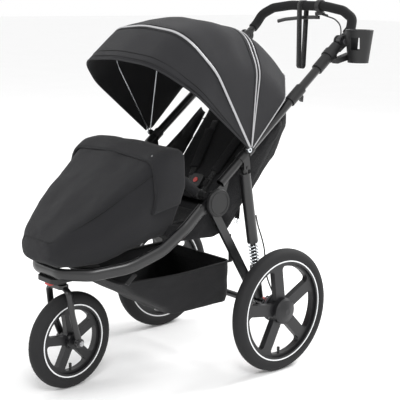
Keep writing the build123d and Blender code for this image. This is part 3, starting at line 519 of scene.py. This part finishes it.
def footmuff():
    rows = muff_rows()
    shell = skin(rows, closed=True)
    rims = [e for e in shell.edges if e.is_boundary]
    toe = [e for e in rims if e.verts[0].co.y < at(0, -700, 0).y]
    bmesh.ops.holes_fill(shell, edges=toe, sides=0)
    bmesh.ops.recalc_face_normals(shell, faces=shell.faces)
    ruffle(shell, 0.0042, 11, (1.0, 0.6, 1.0), 7.7)
    ruffle(shell, 0.0014, 34, (1.0, 0.5, 1.0), 2.2)
    thicken(shell, 0.004)
    body = piece("footmuff_shell", shell, FINISHES["muff_cloth"], "seat_frame", ["footmuff"])
    columns = (round(MUFF_ROUND * 0.245), round(MUFF_ROUND * 0.755))
    seams = []
    for column in columns:
        path = [row[column] for row in rows[6:MUFF_ROWS]]
        seams.append(tube(path, lambda p: p - at(0, -540, 540), 0.0016, 0.0022, 8))
    toe_line = rows[MUFF_ROWS - 1][columns[0]:columns[1] + 1]
    seams.append(tube(toe_line, lambda p: p - at(0, -600, 500), 0.0016, 0.0022, 8))
    piece("footmuff_seams", joined(seams), STITCH, "seat_frame")


def cuff():
    """Wide collar folded over the bumper bar and down over the footmuff's top."""
    fold = []
    for k in range(15):
        s = k / 14
        ring = muff_ring(0.02 + 0.235 * s, 4.0 + 5.0 * math.sin(math.pi * s))
        keep = ring[round(MUFF_ROUND * 0.155):round(MUFF_ROUND * 0.845) + 1]
        drop = 1.0 - s
        fold.append([p + Vector((0, 0, 0.004 * drop)) for p in keep])
    flap = ruffle(skin(fold), 0.0040, 13, (1, 1, 1), 9.3)
    thicken(flap, -0.0045)
    collar = piece("footmuff_cuff", flap, FINISHES["muff_cloth"], "seat_frame")
    lip = tube(fold[-1], lambda p: Vector((0, -0.4, 1)), 0.0035, 0.0040, 8)
    piece("footmuff_cuff_hem", lip, FINISHES["muff_cloth"], "seat_frame")
    snaps = []
    for share in (0.20, 0.80):
        row = fold[12]
        spot = row[round((len(row) - 1) * share)]
        out = (spot - at(0, -430, 640)).normalized()
        snap = bmesh.new()
        bmesh.ops.create_uvsphere(snap, u_segments=16, v_segments=10, radius=0.0055)
        turn = out.to_track_quat("Z", "Y").to_matrix().to_4x4()
        place = Matrix.Translation(spot + out * 0.003) @ turn @ Matrix.Diagonal((1, 1, 0.45, 1))
        bmesh.ops.transform(snap, matrix=place, verts=snap.verts)
        snaps.append(snap)
    piece("footmuff_snaps", joined(snaps), FINISHES["bolt_steel"], "seat_frame")


# ---- bumper bar ---------------------------------------------------------------------
def bumper():
    x, y, z = 176, -256, 590
    half = [(x, y, z), (x, y - 74, z + 58), (x - 6, y - 152, z + 98), (x - 66, y - 176, z + 106)]
    line = [at(*p) for p in half] + [at(-p[0], p[1], p[2]) for p in reversed(half)]
    radii = [r * MM for r in (90, 50, 60, 60, 50, 90)]
    path = spaced(rounded(line, radii), 90)
    wrap = tube(path, lambda p: Vector((0, 0.3, 1)), 0.0152, 0.0152, 20)
    ruffle(wrap, 0.0012, 60, (1, 1, 1), 4.4)
    bar = piece("bumper_wrap", wrap, FINISHES["pad_cloth"], "bumper", ["bumper_bar"])
    under = [p - UP * 0.0154 for p in path[3:-3]]
    seam = tube(under, lambda p: UP, 0.0011, 0.0011, 6)
    caps = []
    for side in (1, -1):
        cap = bmesh.new()
        bmesh.ops.create_cone(cap, cap_ends=True, segments=36, radius1=0.0158, radius2=0.0158, depth=0.029)
        rim = [e for e in cap.edges if abs(e.calc_face_angle(0)) > 0.8]
        bmesh.ops.bevel(cap, geom=rim, offset=0.003, affect="EDGES", segments=3, profile=0.5, material=-1)
        turn = Matrix.Rotation(math.pi / 2, 4, "Y")
        bmesh.ops.transform(cap, matrix=Matrix.Translation(at(side * x, y, z)) @ turn, verts=cap.verts)
        caps.append(cap)
    piece("bumper_seam", seam, STITCH, "bumper")
    piece("bumper_ends", joined(caps), FINISHES["black_plastic"], "bumper")


# ---- seat ---------------------------------------------------------------------------
BIGHT = (-118.0, 505.0)
BACK_LEAN = math.radians(52)
SIM_FRAMES = 20


def on_back(x, along, out):
    """Point on the backrest: along up its face, out towards the child."""
    return at(x, BIGHT[0] + along * math.cos(BACK_LEAN) - out * math.sin(BACK_LEAN),
              BIGHT[1] + along * math.sin(BACK_LEAN) + out * math.cos(BACK_LEAN))


BACK_OUT = Vector((0, -math.sin(BACK_LEAN), math.cos(BACK_LEAN)))


def pillow(node, name, material, body, inset, cap, voxel=0.006):
    """Padded piece blown up from a CAD solid, then capped so that it stays in its space."""
    mesh = frame["nodes"][node].data.copy()
    bm = bmesh.new()
    bm.from_mesh(mesh)
    bmesh.ops.remove_doubles(bm, verts=bm.verts, dist=1e-5)
    bm.normal_update()
    for v in bm.verts:
        v.co -= v.normal * inset
    made = piece(name, bm, material, stands_for=[node])
    remesh = made.modifiers.new("remesh", "REMESH")
    remesh.mode = "VOXEL"
    remesh.voxel_size = voxel
    apply_all(made)
    rest = [v.co.copy() for v in made.data.vertices]
    puff = made.modifiers.new("puff", "CLOTH")
    puff.settings.use_pressure = True
    puff.settings.uniform_pressure_force = 4.0
    puff.settings.quality = 5
    puff.settings.effector_weights.gravity = 0
    scene = bpy.context.scene
    for step in range(1, SIM_FRAMES + 1):
        scene.frame_set(step)
    graph = bpy.context.evaluated_depsgraph_get()
    moved = [v.co.copy() for v in made.evaluated_get(graph).data.vertices]
    scene.frame_set(1)
    made.modifiers.remove(puff)
    for v, a, b in zip(made.data.vertices, rest, moved):
        go = b - a
        v.co = a + (go.normalized() * min(go.length, cap) if go.length > 0 else go)
    for face in made.data.polygons:
        face.use_smooth = True
    smooth = made.modifiers.new("smooth", "SUBSURF")
    smooth.levels = 1
    smooth.render_levels = 1
    apply_all(made)
    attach(made, body)
    return made


def apply_all(made):
    graph = bpy.context.evaluated_depsgraph_get()
    mesh = bpy.data.meshes.new_from_object(made.evaluated_get(graph))
    materials = list(made.data.materials)
    made.modifiers.clear()
    made.data = mesh
    if not mesh.materials:
        for material in materials:
            mesh.materials.append(material)


def seat_pads():
    pillow("seat_back", "backrest_pad", FINISHES["pad_cloth"], "backrest", 0.005, 0.007)
    pillow("seat_base", "seat_pad", FINISHES["pad_cloth"], "seat_frame", 0.005, 0.007)
    pillow("leg_rest", "calf_pad", FINISHES["pad_cloth"], "calf_rest", 0.002, 0.005, 0.005)
    channels = []
    for along in (70, 150, 230, 310):
        path = [on_back(-150 + 300 * k / 24, along + 7 * math.sin(math.pi * k / 24), 26.8) for k in range(25)]
        channels.append(tube(path, lambda p: BACK_OUT, 0.0016, 0.0014, 8))
    piece("backrest_stitching", joined(channels), STITCH, "backrest")
    rows = []
    for y in (-190, -242, -294):
        rows.append(tube([at(-150 + 300 * k / 24, y, 504.8 + (y + 242) * 0.07) for k in range(25)],
                         lambda p: Vector((0, 0, 1)), 0.0016, 0.0014, 8))
    piece("seat_stitching", joined(rows), STITCH, "seat_frame")


LINER = [
    # outside bottom line then the upper edge of one side, as (y, z)
    [(-392, 512), (-388, 480), (-352, 455), (-196, 449), (-142, 463),
     (-112, 492), (-86, 520), (-30, 600), (36, 690), (98, 780)],
    [(-380, 513), (-340, 517), (-300, 520), (-246, 553), (-190, 590),
     (-130, 634), (-60, 684), (0, 730), (46, 770), (80, 798)],
]


def seat_liner():
    """Wrinkled cloth sides and floor of the seat."""
    sides = []
    for side in (1, -1):
        low = spaced([at(side * 186, *p) for p in LINER[0]], 54)
        high = spaced([at(side * 186, *p) for p in LINER[1]], 54)
        rows = []
        for k in range(22):
            t = k / 21
            bulge = Vector((side * 0.006 * math.sin(math.pi * t), 0, 0))
            rows.append([a.lerp(b, t) + bulge for a, b in zip(low, high)])
        sheet = skin(rows)
        ruffle(sheet, 0.0062, 17, (0.3, 0.8, 1.3), 1.7 * side)
        ruffle(sheet, 0.0030, 42, (0.3, 1.0, 1.3), 5.1 * side)
        for v in sheet.verts:
            v.co.x = side * min(max(abs(v.co.x), 0.1815), 0.1925)
        bmesh.ops.solidify(sheet, geom=sheet.faces[:], thickness=0.0022)
        sides.append(sheet)
    floor_line = [at(0, y, z) for y, z in LINER[0][:7]]
    floor_rows = []
    for p in spaced(floor_line, 40):
        floor_rows.append([p + Vector(((-186 + 372 * k / 40) * MM, 0, 0)) for k in range(41)])
    under = ruffle(skin(floor_rows), 0.0024, 20, (1, 1, 1), 8.8)
    bmesh.ops.solidify(under, geom=under.faces[:], thickness=0.0022)
    whole = joined(sides + [under])
    bmesh.ops.recalc_face_normals(whole, faces=whole.faces)
    made = piece("seat_liner", whole, FINISHES["seat_cloth"], "seat_frame", ["seat_shell"])
    hem = []
    for side in (1, -1):
        edge = spaced([at(side * 187.5, *p) for p in LINER[1]], 60)
        hem.append(tube(edge, lambda p: Vector((0, -0.5, 1)), 0.0032, 0.0026, 8))
    piece("seat_liner_binding", joined(hem), FINISHES["webbing"], "seat_frame")


def seat_bag():
    """Loose pocket behind the backrest, gathered and creased."""
    outline = [(30, -2), (400, -2), (405, -15), (362, -50), (230, -61), (112, -47), (52, -26)]
    rows = []
    for k in range(33):
        t = k / 32
        x = -163 + 326 * t
        pinch = 0.90 + 0.10 * math.sin(math.pi * t) ** 0.5
        loop = [Vector((0, a, o * pinch)) for a, o in outline]
        start = (loop[-1] + loop[0]) / 2
        line = rounded([start] + loop + [start], [7, 7, 7, 22, 40, 40, 7])
        rows.append([on_back(x, p.y, p.z) for p in spaced(line, 61)[:-1]])
    bag = skin(rows, closed=True, capped=True)
    ruffle(bag, 0.0052, 16, (1.4, 0.7, 0.7), 6.1)
    ruffle(bag, 0.0022, 46, (1.4, 0.7, 0.7), 2.9)
    for v in bag.verts:
        out = (v.co - on_back(0, 0, -1.5)).dot(BACK_OUT)
        if out > 0:
            v.co -= BACK_OUT * out
    made = piece("seat_back_bag", bag, FINISHES["seat_cloth"], "backrest", ["seat_bag"])


def strip(path, out, half, depth=0.0011):
    """Flat webbing along a path."""
    return tube(path, lambda p: out, half, depth, 12)


def harness():
    straps = []
    for side in (1, -1):
        shoulder = []
        for k in range(21):
            t = k / 20
            shoulder.append(on_back(side * (46 + 30 * t), 92 + 215 * k / 20, 33 - 1.5 * math.sin(math.pi * k / 20)))
        straps.append(strip(shoulder, BACK_OUT, 0.0125))
        straps.append(strip([on_back(side * 46, 34 + 60 * k / 8, 31.5) for k in range(9)], BACK_OUT, 0.0115))
    straps.append(strip([on_back(-48 + 96 * k / 10, 78, 33) for k in range(11)], BACK_OUT, 0.0140))
    piece("harness_webbing", joined(straps), FINISHES["webbing"], "backrest", ["harness"])
    pads = []
    for side in (1, -1):
        path = [on_back(side * (50 + 26 * (k / 20)), 122 + 150 * k / 20, 34) for k in range(21)]
        pads.append(tube(path, lambda p: BACK_OUT, 0.021, 0.0052, 20))
    pad = piece("harness_pads", joined(pads), FINISHES["pad_cloth"], "backrest")


def hanging_straps():
    x, y = -24, 403
    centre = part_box("wrist_strap")[1].z / MM - 18.9
    low = centre - 207
    line = []
    for k in range(13):
        a = math.pi * k / 12
        line.append(at(x, y + 18.3 * math.cos(a), centre + 18.3 * math.sin(a)))
    for k in range(1, 13):
        a = math.pi + math.pi * k / 12
        line.append(at(x, y + 12 * math.cos(a), low + 12 * math.sin(a)))
    line.append(line[0].copy())
    loop = spaced(line, 100)
    rows = []
    for k, p in enumerate(loop[:-1]):
        along = (loop[(k + 1) % 99] - loop[k - 1 if k else 98]).normalized()
        out = along.cross(Vector((1, 0, 0)))
        rows.append([p + Vector((dx, 0, 0)) + out * dz for dx, dz in
                     ((-0.0115, -0.0006), (-0.0112, 0.0006), (0.0112, 0.0006), (0.0115, -0.0006), (0, -0.0008))])
    band = looped(rows)
    piece("wrist_loop", band, FINISHES["webbing"], "handle", ["wrist_strap"])
    drop = [at(120, -30 + 1.5 * math.sin(k / 3), 544 - 72 * k / 12) for k in range(13)]
    web = strip(drop, Vector((0, 1, 0)), 0.0108)
    rings = []
    for dx in (-6, 6):
        path = [at(120 + dx, -30 + 9 * math.cos(a), 464 + 9 * math.sin(a)) for a in turns(24)]
        rows = []
        for k, p in enumerate(path):
            out = (p - at(120 + dx, -30, 464)).normalized()
            rows.append([p + out * 0.0013 * math.cos(b) + ACROSS * 0.0013 * math.sin(b) for b in turns(8)])
        ring = looped(rows)
        rings.append(ring)
    piece("recline_web", web, FINISHES["webbing"], "backrest", ["recline_strap"])
    piece("recline_rings", joined(rings), FINISHES["steel"], "backrest")


# ---- basket -------------------------------------------------------------------------
BASKET = [
    # height, rear y, front y, half width, corner radius
    (207, -70, -318, 128, 30),
    (232, -72, -352, 138, 30),
    (280, -84, -438, 151, 28),
    (318, -92, -492, 159, 26),
    (349, -99, -537, 165, 24),
]


def basket_ring(t, sag=0.0):
    height, rear, front, half, corner = (between([row[i] for row in BASKET], t) for i in range(5))
    loop = [Vector((half, rear, 0)), Vector((half, (rear + front) / 2, 0)), Vector((half, front, 0)),
            Vector((-half, front, 0)), Vector((-half, (rear + front) / 2, 0)), Vector((-half, rear, 0))]
    start = (loop[-1] + loop[0]) / 2
    line = rounded([start] + loop + [start], [corner, 3000, corner, corner, 3000, corner])
    out = []
    for p in spaced(line, 121)[:-1]:
        dip = sag * math.sin(math.pi * min(1.0, max(0.0, (p.y - front) / (rear - front)))) ** 2
        out.append(at(p.x, p.y, height - dip))
    return out


def basket():
    rows = [basket_ring(k / 24, 7.0 * (k / 24)) for k in range(25)]
    middle = sum(rows[0], Vector()) / len(rows[0])
    floor_rows = []
    for shrink in (0.04, 0.3, 0.55, 0.8, 0.95):
        floor_rows.append([middle + (p - middle) * shrink for p in rows[0]])
    shell = skin(floor_rows + rows, closed=True)
    hole = [e for e in shell.edges if e.is_boundary and (e.verts[0].co - middle).length < 0.06]
    bmesh.ops.holes_fill(shell, edges=hole, sides=0)
    bmesh.ops.recalc_face_normals(shell, faces=shell.faces)
    ruffle(shell, 0.0030, 13, (1, 0.7, 1.2), 4.9)
    ruffle(shell, 0.0010, 48, (1, 0.7, 1.2), 0.4)
    thicken(shell, 0.0024)
    made = piece("basket_body", shell, FINISHES["basket_cloth"], "seat_frame", ["basket"])
    rim = tube(rows[-1] + rows[-1][:1], lambda p: UP, 0.0040, 0.0038, 10)
    seam = tube(rows[1] + rows[1][:1], lambda p: p - middle, 0.0013, 0.0016, 8)
    belt = tube(rows[17] + rows[17][:1], lambda p: p - middle, 0.0013, 0.0016, 8)
    piece("basket_binding", joined([rim, seam, belt]), STITCH, "seat_frame")
    hangers = []
    for side in (1, -1):
        path = [at(side * (164 + 1.5 * math.sin(k / 2)), -99 - 6 * k / 10, 346 + 92 * k / 10) for k in range(11)]
        hangers.append(strip(path, ACROSS, 0.009))
        front = [at(side * (165 + 25 * k / 10), -520 + 20 * k / 10, 346 + 42 * k / 10) for k in range(9)]
        hangers.append(strip(front, ACROSS, 0.009))
    piece("basket_hangers", joined(hangers), FINISHES["webbing"], "seat_frame")


# ---- tyre treads --------------------------------------------------------------------
TREAD_ROWS = [
    # place across, lean, block size, sink below the crown, skew, share of a step round
    (0, 0, (9, 5.6, 3.0), -1.0, 0.0, 0),
    (8.6, 0.26, (7, 4.6, 3.2), -2.3, 0.35, 0.5),
    (-8.6, -0.26, (7, 4.6, 3.2), -2.3, -0.35, 0.5),
    (15.0, 0.72, (7, 3.8, 3.0), -6.6, 0.35, 0),
    (-15.0, -0.72, (7, 3.8, 3.0), -6.6, -0.35, 0),
]
REAR_TYRE = (200, 23)    # radius, half width
FRONT_TYRE = (150, 22)
WHEEL_X = 295
STEER_AXIS_Y = -648
TRAIL = 42
STEER = math.radians(4.1)


def tread(radius, half, count):
    """Rows of small blocks and side bars round a tyre about X."""
    parts = []
    for x, lean, size, sink, skew, offset in TREAD_ROWS:
        depth = sink * half / 23
        for k in range(count):
            block = bmesh.new()
            bmesh.ops.create_cube(block, size=MM)
            spin = Matrix.Rotation(FULL * (k + offset) / count, 4, "X")
            place = Matrix.Translation((x * half / 23 * MM, 0, (radius + depth - 0.9) * MM))
            shape = Matrix.Rotation(lean, 4, "Y") @ Matrix.Rotation(skew, 4, "Z") @ Matrix.Diagonal((*size, 1))
            bmesh.ops.transform(block, matrix=spin @ place @ shape, verts=block.verts)
            parts.append(block)
    return joined(parts)


def treads():
    for side, sign in (("left", 1), ("right", -1)):
        bm = tread(*REAR_TYRE, 64)
        spot = at(sign * WHEEL_X, 0, REAR_TYRE[0])
        bmesh.ops.transform(bm, matrix=Matrix.Translation(spot), verts=bm.verts)
        flat(piece("tyre_tread_" + side, bm, FINISHES["tyre_rubber"], "rear_wheel_" + side))
    bm = tread(*FRONT_TYRE, 50)
    spot = at(-TRAIL * math.sin(STEER), STEER_AXIS_Y + TRAIL * math.cos(STEER), FRONT_TYRE[0])
    place = Matrix.Translation(spot) @ Matrix.Rotation(STEER, 4, "Z")
    bmesh.ops.transform(bm, matrix=place, verts=bm.verts)
    flat(piece("tyre_tread_front", bm, FINISHES["tyre_rubber"], "front_wheel"))


def flat(made):
    for face in made.data.polygons:
        face.use_smooth = False


# ---- small trim ---------------------------------------------------------------------
HINGE = (-233, 570)
HINGE_FACE = 253.0
CUP_RIM = (286, 341, 1080)


def trim():
    """Raised rings on the hinge covers, and the cup holder's lip."""
    rings = []
    for side in (1, -1):
        for radius, out in ((34, 0.6), (39.5, -0.4)):
            face_x = side * (HINGE_FACE + out)
            path = [at(face_x, HINGE[0] + radius * math.cos(a), HINGE[1] + radius * math.sin(a)) for a in turns(72)]
            rows = []
            for p in path:
                away = (p - at(side * HINGE_FACE, *HINGE)).normalized()
                away.x = 0
                rows.append([p + away * 0.0011 * math.cos(b) + ACROSS * side * 0.0009 * math.sin(b)
                             for b in turns(8)])
            ring = looped(rows)
            rings.append(ring)
    piece("hinge_cover_rings", joined(rings), FINISHES["black_plastic"], "seat_frame")
    rows = []
    for a in turns(48):
        out = Vector((math.cos(a), math.sin(a), 0))
        spot = at(*CUP_RIM) + out * 0.0452
        rows.append([spot + out * 0.0016 * math.cos(b) + UP * 0.0016 * math.sin(b) for b in turns(8)])
    lip = looped(rows)
    piece("cup_holder_lip", lip, FINISHES["black_plastic"], "seat_frame")


# ---- studio -------------------------------------------------------------------------
def studio():
    bm = bmesh.new()
    bmesh.ops.create_grid(bm, x_segments=2, y_segments=2, size=30)
    floor = piece("floor", bm, floor_finish())
    world = bpy.data.worlds.new("studio")
    bpy.context.scene.world = world
    world.use_nodes = True
    world.node_tree.nodes["Background"].inputs["Color"].default_value = (1.0, 1.0, 1.0, 1)
    world.node_tree.nodes["Background"].inputs["Strength"].default_value = 1.0
    for name, spot, power, size in (("key", (3.2, -2.6, 4.0), 120, 1.6), ("fill", (-3.6, -2.6, 2.6), 30, 3.0),
                                    ("back", (0.5, 3.6, 3.4), 170, 2.0)):
        lamp = bpy.data.lights.new(name, "AREA")
        lamp.energy = power
        lamp.size = size
        holder = bpy.data.objects.new(name, lamp)
        bpy.context.collection.objects.link(holder)
        holder.location = spot
        holder.rotation_euler = (Vector((0, 0, 0.55)) - Vector(spot)).to_track_quat("-Z", "Y").to_euler()
    scene = bpy.context.scene
    scene.view_settings.view_transform = "Standard"
    scene.view_settings.look = "None"


def floor_finish():
    f = Finish("pale_floor", Roughness=0.9, Specular_IOR_Level=0.1)
    f.into("Base Color", f.mix(f.grain(2, 2), (0.93, 0.93, 0.93, 1), (0.96, 0.96, 0.96, 1)))
    return f.material


def camera():
    eye = at(2522.42, -2354.76, 1215.32)
    ahead = Vector((-0.72851, 0.65499, -0.20065)).normalized()
    right = Vector((0.66571, 0.74599, 0.01814))
    up = right.cross(ahead).normalized()
    right = ahead.cross(up)
    lens = bpy.data.cameras.new("camera")
    lens.sensor_width = 36
    lens.lens = 36 * 1050.0 / 400
    holder = bpy.data.objects.new("camera", lens)
    bpy.context.collection.objects.link(holder)
    turn = Matrix((right, up, -ahead)).transposed().to_4x4()
    holder.matrix_world = Matrix.Translation(eye) @ turn
    bpy.context.scene.camera = holder


camera()
canopy()
footmuff()
cuff()
bumper()
seat_liner()
seat_pads()
seat_bag()
harness()
hanging_straps()
basket()
treads()
trim()
studio()
